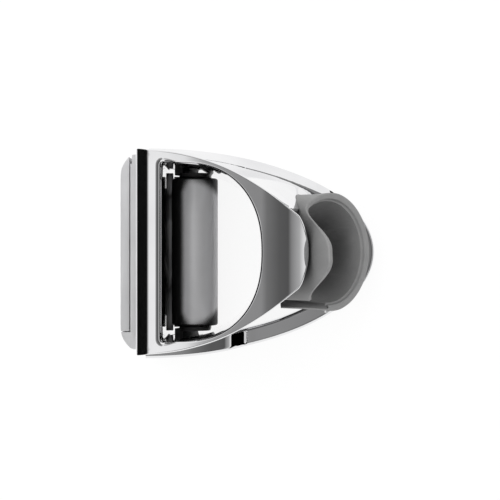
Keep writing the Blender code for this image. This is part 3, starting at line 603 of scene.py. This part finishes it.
def loop_of(back, flank, counts):
    """A closed loop: along the bar, out along the +Y flank to the nose, and back along the -Y flank."""
    on_back, on_flank = counts
    half = spread(flank, on_flank)
    bar = spread([(back, -half[0][1]), (back, half[0][1])], on_back)
    mirrored = half[::-1] * (1, -1)
    return np.concatenate([bar[:-1], half[:-1], mirrored[:-1]])


def rounded_corners(loop, radius):
    """Pulls a loop's two sharp corners in to arcs of about that radius."""
    along = max(2, int(radius / np.linalg.norm(loop[1] - loop[0])))
    smooth = loop.copy()
    for _ in range(along * along):
        smooth = (np.roll(smooth, 1, axis=0) + 2 * smooth + np.roll(smooth, -1, axis=0)) / 4
    moved = np.linalg.norm(smooth - loop, axis=1)
    near = (np.abs(loop[:, 1]) > np.abs(loop[:, 1]).max() - 3 * radius) & (moved > 0)
    near &= loop[:, 0] < loop[:, 0].min() + 3 * radius
    return np.where(near[:, None], smooth, loop)


def inward(loop):
    """Unit normals of a closed loop, pointing to its inside whichever way it runs."""
    tangent = np.roll(loop, -1, axis=0) - np.roll(loop, 1, axis=0)
    normal = np.column_stack([-tangent[:, 1], tangent[:, 0]])
    normal /= np.linalg.norm(normal, axis=1)[:, None]
    centre = loop.mean(axis=0)
    turned = ((centre - loop) * normal).sum() < 0
    return -normal if turned else normal


def grid_mesh(name, rows, around=True, caps=False):
    """A mesh from rows of equally many points, each row a closed ring.

    With around, the last row joins the first. With caps, the two end rows are filled.
    """
    count = len(rows[0])
    verts = [tuple(point) for row in rows for point in row]
    faces = []
    last = len(rows) if around else len(rows) - 1
    for i in range(last):
        a, b = i * count, (i + 1) % len(rows) * count
        for k in range(count):
            n = (k + 1) % count
            faces.append((a + k, a + n, b + n, b + k))
    if caps:
        faces.append(tuple(range(count)))
        faces.append(tuple((len(rows) - 1) * count + k for k in range(count)))
    mesh = bpy.data.meshes.new(name)
    mesh.from_pydata(verts, [], faces)
    bm = bmesh.new()
    bm.from_mesh(mesh)
    bmesh.ops.remove_doubles(bm, verts=bm.verts, dist=1e-7)
    bmesh.ops.recalc_face_normals(bm, faces=bm.faces)
    bm.to_mesh(mesh)
    bm.free()
    return new_object(name, mesh)


def quarter(radius, steps=6):
    """(inward, down) offsets of a rounded edge, from the wall to the top."""
    turns = [math.pi / 2 * i / steps for i in range(steps + 1)]
    return [(radius * (1 - math.cos(a)), radius * (1 - math.sin(a))) for a in turns]


def sleeve_ring():
    """The upright D ring round the rail, with its crowned top, as one grid of quads."""
    outer = rounded_corners(loop_of(BACK_X, FLANK_LINE, LOOP_COUNTS), CORNER)
    turns = np.linspace(math.pi / 2, 0, ARCH_POINTS)
    arch = [
        (
            HOLE_X + HOLE_REACH * abs(math.cos(a)) ** (2 / HOLE_POWER),
            HOLE_HALF * abs(math.sin(a)) ** (2 / HOLE_POWER),
        )
        for a in turns
    ]
    inner = rounded_corners(loop_of(BAR_X, [(BAR_X, HOLE_HALF), *arch], LOOP_COUNTS), EDGE)
    into, out_of = inward(outer), -inward(inner)
    rows = [np.column_stack([outer, np.zeros(len(outer))])]
    for across, down in quarter(TOP_EDGE):
        flat = outer + into * across
        tops = [sleeve_top_at(x) - down * ease((x - BACK_X) / BAR_ROUND) for x, y in flat]
        rows.append(np.column_stack([flat, tops]))
    fade = np.array([ease((HOLE_X - x) / HOLE_BULGE) for x, y in inner])
    inner_edge = HOLE_EDGE + (BAR_INNER_ROUND - HOLE_EDGE) * fade
    start, end = outer + into * TOP_EDGE, inner + out_of * inner_edge[:, None]
    for i in range(1, TOP_ROWS):
        flat = start + (end - start) * (i / TOP_ROWS) ** TOP_SPACING
        rows.append(np.column_stack([flat, [sleeve_top_at(x) for x, y in flat]]))
    for across, down in reversed(quarter(1.0, 10)):
        flat = inner + out_of * (across * inner_edge)[:, None]
        tops = [sleeve_top_at(x) - down * edge for (x, y), edge in zip(flat, inner_edge)]
        rows.append(np.column_stack([flat, tops]))
    for z in (HEIGHT * 0.8, HEIGHT * 0.5, HOLE_FLARE * 2):
        rows.append(np.column_stack([inner, np.full(len(inner), z)]))
    rows.append(np.column_stack([inner + out_of * HOLE_FLARE, np.zeros(len(inner))]))
    return grid_mesh("body_casting", rows)


def hoop_ring():
    """The oval foot ring, a swept rounded section."""
    angles = np.linspace(-math.pi / 2, math.pi / 2, HOOP_STATIONS)
    rows = []
    for a in angles:
        c, s = math.cos(a), math.sin(a)
        outer = np.array([HOOP_X + HOOP_REACH * c, HOOP_HALF * s])
        inner = np.array([HOOP_X + (HOOP_REACH - HOOP_END) * c, (HOOP_HALF - HOOP_SIDE) * s])
        inwards = (inner - outer) / np.linalg.norm(inner - outer)
        section = [(*outer, 0)]
        for across, down in quarter(HOOP_EDGE):
            flat = outer + inwards * across
            section.append((*flat, hoop_top_at(flat[0]) - down))
        for share in np.linspace(*HOOP_TOP_SHARES):
            flat = outer + (inner - outer) * share
            section.append((*flat, hoop_top_at(flat[0])))
        for across, down in reversed(quarter(HOOP_EDGE)):
            flat = inner - inwards * across
            section.append((*flat, hoop_top_at(flat[0]) - down))
        section.append((*inner, 0))
        rows.append([(x, y, min(z, skirt_top_at(x, y))) for x, y, z in section])
    return grid_mesh("hoop", rows, around=False, caps=True)


def web_sheet():
    """The closed side, lofted from the sleeve's top edge down into the hoop."""
    first_x = HOOP_X + 2 * EDGE
    last_x = BACK_X + WEB_END
    rows = []
    for i in range(WEB_STATIONS + 1):
        x = first_x + (last_x - first_x) * i / WEB_STATIONS
        foot = hoop_half_at(x) - WEB_BREAK
        foot_z = hoop_top_at(x) - WEB_SINK
        blend = ease((x - CUP_WALL_X) / (last_x - CUP_WALL_X))
        top = sleeve_top_at(max(BACK_X + BAR_ROUND, min(x, NOSE_X))) - WEB_DROP
        edge = min(max(sleeve_half_at(x), CUP_OUTER / 2), foot - WEB_WALL)
        edge_y = edge + (foot - WEB_WALL - edge) * blend
        edge_z = top + (foot_z + WEB_SINK / 2 - top) * blend
        edge_y -= WEB_TUCK * (1 - blend)
        section = [(x, edge_y - WEB_WALL, 0), (x, edge_y - WEB_WALL, edge_z - WEB_WALL / 2)]
        for k in range(WEB_ACROSS + 1):
            share = k / WEB_ACROSS
            section.append((x, edge_y + (foot - edge_y) * share, edge_z + (foot_z - edge_z) * share))
        section.append((x, foot, 0))
        rows.append(section)
    return grid_mesh("web", rows, around=False, caps=True)


def prism(name, outline, low, high, turn=None):
    """Extrudes a flat outline from low to high along Z, then turns it."""
    bm = bmesh.new()
    face = bm.faces.new([bm.verts.new((x, y, low)) for x, y in outline])
    grown = bmesh.ops.extrude_face_region(bm, geom=[face])["geom"]
    top = [part for part in grown if isinstance(part, bmesh.types.BMVert)]
    bmesh.ops.translate(bm, verts=top, vec=(0, 0, high - low))
    if turn:
        bmesh.ops.transform(bm, matrix=turn, verts=bm.verts)
    bmesh.ops.recalc_face_normals(bm, faces=bm.faces)
    mesh = bpy.data.meshes.new(name)
    bm.to_mesh(mesh)
    bm.free()
    return new_object(name, mesh)


def box(name, low, high):
    outline = [(low[0], low[1]), (high[0], low[1]), (high[0], high[1]), (low[0], high[1])]
    return prism(name, outline, low[2], high[2])


def rod(name, radius, start, end, segments=96):
    start, end = Vector(start), Vector(end)
    turn = (end - start).to_track_quat("Z", "Y").to_matrix().to_4x4()
    circle = [2 * math.pi * i / segments for i in range(segments)]
    outline = [(radius * math.cos(a), radius * math.sin(a)) for a in circle]
    return prism(name, outline, 0, (end - start).length, Matrix.Translation(start) @ turn)


def revolve(name, profile, segments):
    """A solid of revolution about Z from a closed profile of (radius, z)."""
    rows = []
    for i in range(segments):
        a = 2 * math.pi * i / segments
        rows.append([(r * math.cos(a), r * math.sin(a), z) for r, z in profile])
    return grid_mesh(name, rows)


def combine(obj, others, operation):
    """Joins, cuts or intersects with the others, and removes them."""
    for other in others:
        modifier = obj.modifiers.new(other.name, "BOOLEAN")
        modifier.operation = operation
        modifier.object = other
        modifier.solver = "MANIFOLD"
    apply_modifiers(obj)
    for other in others:
        bpy.data.objects.remove(other)


def apply_modifiers(obj):
    graph = bpy.context.evaluated_depsgraph_get()
    mesh = bpy.data.meshes.new_from_object(obj.evaluated_get(graph))
    obj.modifiers.clear()
    obj.data = mesh


def shade(obj, material, angle):
    """Smooth shading with sharp edges kept, and the material."""
    mesh = obj.data
    mesh.shade_smooth()
    mesh.set_sharp_from_angle(angle=math.radians(angle))
    mesh.materials.clear()
    mesh.materials.append(material)


def cup_tube_cutter():
    """The room for the cup, in front of the nose wall only."""
    reach = CUP_DEEP * 2
    tube = rod("cup pocket", CUP_OUTER + CUP_CLEAR, (0, 0, -reach), (0, 0, reach), TUBE_SEGMENTS)
    into_cup(tube)
    combine(tube, [box("limit", (-FAR, -FAR, -FAR), (CUP_WALL_X, FAR, FAR))], "DIFFERENCE")
    return tube


def into_cup(obj):
    """Tilts a form made upright about the cup's axis, and sets it in its place."""
    obj.data.transform(Matrix.Translation(CUP_PLACE) @ Matrix.Rotation(CUP_TILT, 4, "Y"))
    return obj


def rib_outline(grow, low, high):
    """Side view of the leaning groove that the carrier's rib runs in."""
    lean = math.tan(RAMP)
    middle = ROLLER_X - RIB_BACK
    half = RIB_WIDTH / 2 + grow
    centre_z = (RIB_LOW + RIB_HIGH) / 2
    low_x = middle - (low - centre_z) * lean
    high_x = middle - (high - centre_z) * lean
    return [(low_x - half, low), (low_x + half, low), (high_x + half, high), (high_x - half, high)]


def side_prism(name, outline, low_y, high_y):
    """A prism along Y from an outline of (x, z) points."""
    flipped = [(x, -z) for x, z in outline]
    return prism(name, flipped, low_y, high_y, Matrix.Rotation(-math.pi / 2, 4, "X"))


def seat_block():
    """The block inside the hoop that the cup sits in, from the middle of the hose way forward."""
    inset = HOOP_END / 2
    angles = np.linspace(-math.pi / 2, math.pi / 2, 161)
    outer = [
        (HOOP_X + (HOOP_REACH - inset) * math.cos(a), (HOOP_HALF - inset) * math.sin(a)) for a in angles
    ]
    return prism("seat", [p for p in outer if p[0] > HOSE_X], 0, HOOP_HEIGHT - OVER / 2)


def hose_passage(radius=HOSE_RADIUS):
    """The upright way for the hose. Its near side stays next to the nose wall, whatever its radius."""
    x = CUP_WALL_X + GAP + radius
    return rod("hose way", radius, (x, 0, -OVER), (x, 0, CUP_RISE - CUP_OUTER))


def collar_at(psi):
    """How far the rim stands out at psi: nothing next to the tongue, all of COLLAR at the front."""
    away = abs(math.remainder(psi, 2 * math.pi))
    return COLLAR * ease((away - COLLAR_FROM) / (COLLAR_TO - COLLAR_FROM))


def spring_bores():
    bores = []
    for y in (-SPRING_PLACE, SPRING_PLACE):
        low, high = (SPRING_X, y, RELIEF_TOP - OVER), (SPRING_X, y, SPRING_TOP + GAP)
        bores.append(rod("spring bore", SPRING_BORE, low, high, 48))
    return bores


def make_body(material):
    body = sleeve_ring()
    combine(body, [hoop_ring(), web_sheet(), seat_block()], "UNION")
    room = WING_HALF + 2 * GAP
    cutters = [
        cup_tube_cutter(),
        hose_passage(),
        box("foot relief", (BACK_X - OVER, -room, -OVER), (BAR_X + OVER, room, RELIEF_TOP)),
        *spring_bores(),
        rod("cup screw way", SCREW_RADIUS + GAP, (INSERT_SCREW_X, 0, -OVER), (INSERT_SCREW_X, 0, CUP_RISE)),
        rod(
            "cup screw recess",
            SCREW_HEAD + GAP,
            (INSERT_SCREW_X, 0, -OVER),
            (INSERT_SCREW_X, 0, SCREW_HEAD_HEIGHT + 3 * GAP),
        ),
    ]
    groove_top = RIB_HIGH + CARRIER_LIFT + 2 * GAP
    for side in (-1, 1):
        ends = sorted((side * CHEEK_IN, side * (CHEEK_IN + CHEEK + RIB_DEPTH + GAP)))
        cutters.append(side_prism("rib groove", rib_outline(GAP, -OVER, groove_top), *ends))
        for place in SCREW_PLACES:
            start = (BACK_X - OVER, side * place, SCREW_RISE)
            end = (BACK_X + SCREW_LENGTH, side * place, SCREW_RISE)
            cutters.append(rod("cover screw hole", SCREW_RADIUS + GAP, start, end, 32))
    combine(body, cutters, "DIFFERENCE")
    shade(body, material, CASTING_CREASE)
    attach(body, "slider")
    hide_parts("slider_body")


def tongue_height(psi):
    away = abs(psi - TONGUE_LEAN)
    share = min(1.0, max(0.0, (away - TONGUE_FLAT) / (TONGUE_SIDE - TONGUE_FLAT)))
    return TONGUE * (1 + math.cos(math.pi * share)) / 2


def make_cup(material):
    """The grey cup: a C-shaped tapered tube with a rounded rim that rises into the tongue."""
    rows = []
    for i in range(CUP_STATIONS + 1):
        psi = SLOT_TO + (2 * math.pi - (SLOT_TO - SLOT_FROM)) * i / CUP_STATIONS
        top = tongue_height(math.remainder(psi, 2 * math.pi))
        from_slot = min(i, CUP_STATIONS - i)
        thin = RIM_ROUND * max(0.0, 1 - from_slot / CUP_END_STATIONS) ** 2
        profile = [(CUP_BORE_END + thin, -CUP_DEEP), (CUP_OUTER - thin, -CUP_DEEP)]
        collar = collar_at(psi)
        for share in np.linspace(0, 0.9, 10):
            profile.append((CUP_OUTER - thin + collar * ease(share), top - COLLAR_DEEP * (1 - share)))
        profile += [(CUP_OUTER + collar - thin - a, top - d) for a, d in quarter(RIM_ROUND)]
        profile += [(CUP_MOUTH + thin + a, top - d) for a, d in reversed(quarter(RIM_ROUND))]
        if top > 2 * RIM_ROUND:
            profile[-1] = (CUP_MOUTH + thin, top - RIM_ROUND)
        for turn in (1.0, 0.66, 0.33, 0.0):
            a = math.pi / 2 * turn
            lead = CUP_LEAD_WIDTH * (1 - math.sin(a))
            profile.append((CUP_MOUTH + thin - lead, -RIM_ROUND - CUP_LEAD * math.cos(a)))
        rows.append([(-r * math.cos(psi), -r * math.sin(psi), z) for r, z in profile])
    cup = into_cup(grid_mesh("handset_cup", rows, around=False, caps=True))
    wall = CUP_WALL_X + GAP
    cutters = [
        box("wall side", (-FAR, -FAR, -FAR), (wall, FAR, FAR)),
        box("under", (-FAR, -FAR, -FAR), (FAR, FAR, CUP_FLOOR)),
        hose_passage(HOSE_WAY_RADIUS),
    ]
    combine(cup, cutters, "DIFFERENCE")
    shade(cup, material, CUP_CREASE)
    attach(cup, "slider")
    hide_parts("cup_insert")


def make_roller(material):
    ends = quarter(EDGE, 4)
    profile = [(ROLLER_BORE, -ROLLER_HALF)]
    profile += [(ROLLER_RADIUS - d, -ROLLER_HALF + a) for a, d in ends]
    profile += [(ROLLER_RADIUS - d, ROLLER_HALF - a) for a, d in reversed(ends)]
    profile.append((ROLLER_BORE, ROLLER_HALF))
    roller = revolve("clamp_tube", profile, ROLLER_SEGMENTS)
    roller.data.transform(Matrix.Rotation(-math.pi / 2, 4, "X"))
    roller.location = (ROLLER_X, 0, ROLLER_RISE)
    shade(roller, material, CASTING_CREASE)
    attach(roller, "roller")
    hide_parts("clamp_roller")


def refined_copy(node, body, material, bevel=FINE_EDGE):
    """A copy of a solid with welded points, smooth shading and fine rounded edges.

    With body None it rides on nothing yet.
    """
    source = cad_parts[node]
    mesh = source.data.copy()
    obj = new_object(node + "_finish", mesh)
    bm = bmesh.new()
    bm.from_mesh(mesh)
    bmesh.ops.remove_doubles(bm, verts=bm.verts, dist=2e-6)
    bmesh.ops.dissolve_limit(bm, angle_limit=math.radians(1), verts=bm.verts, edges=bm.edges)
    bm.to_mesh(mesh)
    bm.free()
    if "custom_normal" in mesh.attributes:
        mesh.attributes.remove(mesh.attributes["custom_normal"])
    if bevel:
        modifier = obj.modifiers.new("fine edges", "BEVEL")
        modifier.width = bevel
        modifier.segments = 2
        modifier.limit_method = "ANGLE"
        modifier.angle_limit = math.radians(PART_CREASE)
        modifier.harden_normals = False
        apply_modifiers(obj)
    shade(obj, material, PART_CREASE)
    if body:
        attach(obj, body)
    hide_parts(node)
    return obj


make_camera()
make_world()
make_floor()
make_flag()
make_tent()
make_key()

chrome = metal("mirror chrome", (0.78, 0.78, 0.79), (0.84, 0.84, 0.85), (0.02, 0.05), 0.01)
satin = metal(
    "satin chrome", (0.78, 0.78, 0.79), (0.86, 0.86, 0.87), (0.42, 0.5), 0.05, grain=0.0006, metallic=0.35
)
# The roller's colour carries painted shade where the opening's walls close round it
roller_metal = metal(
    "roller chrome",
    (0.88, 0.88, 0.89),
    (0.93, 0.93, 0.94),
    (0.4, 0.46),
    0.02,
    metallic=0.35,
    reach=ROLLER_REACH_OF_SHADE,
)
steel = metal("turned steel", (0.5, 0.5, 0.51), (0.6, 0.6, 0.61), (0.25, 0.4), 0.15, grain=0.0005)
spring_wire = metal("spring wire", (0.42, 0.42, 0.43), (0.55, 0.55, 0.56), (0.25, 0.4), 0.1, grain=0.0004)
# The cup's colour carries painted shade inside, where its walls close in
grey_plastic = plastic("grey plastic", (0.27, 0.27, 0.27), (0.33, 0.33, 0.33), (0.42, 0.6), 0.35, shade_level=0.06)
dark_plastic = plastic("dark plastic", (0.018, 0.018, 0.018), (0.035, 0.035, 0.035), (0.4, 0.55), 0.3)
pale_plastic = plastic("bearing plastic", (0.6, 0.6, 0.58), (0.72, 0.72, 0.7), (0.35, 0.5), 0.2)

make_body(chrome)
make_cup(grey_plastic)
make_roller(roller_metal)
refined_copy("back_cover", "slider", satin)
refined_copy("release_plate", "release", satin)
refined_copy("roller_carrier", "carrier", dark_plastic)
refined_copy("carrier_foot", "carrier", steel)
refined_copy("roller_axle", "carrier", steel, PIN_EDGE)
refined_copy("plate_hinge_pin", "slider", steel, PIN_EDGE)
for hand in ("left", "right"):
    refined_copy("foot_rivet_" + hand, "carrier", steel, SMALL_EDGE)
    refined_copy("roller_bush_" + hand, "roller", pale_plastic)
    spring = refined_copy("carrier_spring_" + hand, None, spring_wire, 0)
    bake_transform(spring)
    for place in ("inner", "outer"):
        refined_copy(f"cover_screw_{hand}_{place}", "slider", steel, SMALL_EDGE)
# The cup's screw ends inside the cup's wall
cup_screw = refined_copy("insert_screw", "slider", steel, SMALL_EDGE)
combine(cup_screw, [box("past the cup's wall", (-FAR, -FAR, SCREW_TIP_Z), (FAR, FAR, FAR))], "DIFFERENCE")

bpy.context.scene.view_settings.view_transform = "Standard"
bpy.context.view_layer.update()
